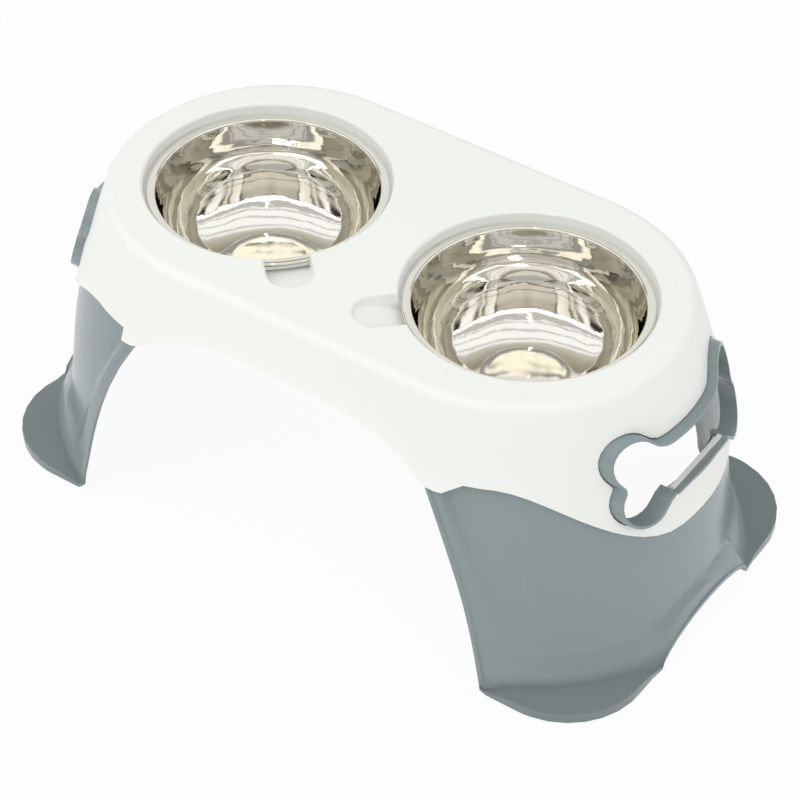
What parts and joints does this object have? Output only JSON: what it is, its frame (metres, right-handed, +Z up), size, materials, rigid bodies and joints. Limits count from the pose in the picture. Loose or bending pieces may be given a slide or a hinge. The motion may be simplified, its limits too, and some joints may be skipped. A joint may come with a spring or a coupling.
{
  "type": "raised double pet bowl",
  "caption": "Raised feeding stand with a white deck, lift-out steel bowls, curved grey end legs and bone-shaped hand holes.",
  "frame": {"origin": "on the floor, under the middle of the stand", "axes": "+X along the stand to the right-hand bowl, +Y to the back, +Z up"},
  "size_m": [0.4936, 0.2788, 0.208],
  "materials": {
    "shell": "satin moulded",
    "leg": "satin moulded",
    "bowl": "polished stainless steel",
    "pad": "soft matt"
  },
  "bodies": {
    "stand": {"shell": "shell", "leg_left": "leg", "leg_right": "leg", "pad_front_left": "pad", "pad_front_right": "pad", "pad_back_left": "pad", "pad_back_right": "pad"},
    "bowl_left": {"bowl_left": "bowl"},
    "bowl_right": {"bowl_right": "bowl"}
  },
  "joints": [
    {"name": "bowl_left_lift", "type": "slide", "parent": "stand", "child": "bowl_left", "axis": [0, 0, 1], "range_m": [0, 0.12]},
    {"name": "bowl_right_lift", "type": "slide", "parent": "stand", "child": "bowl_right", "axis": [0, 0, 1], "range_m": [0, 0.12]}
  ]
}
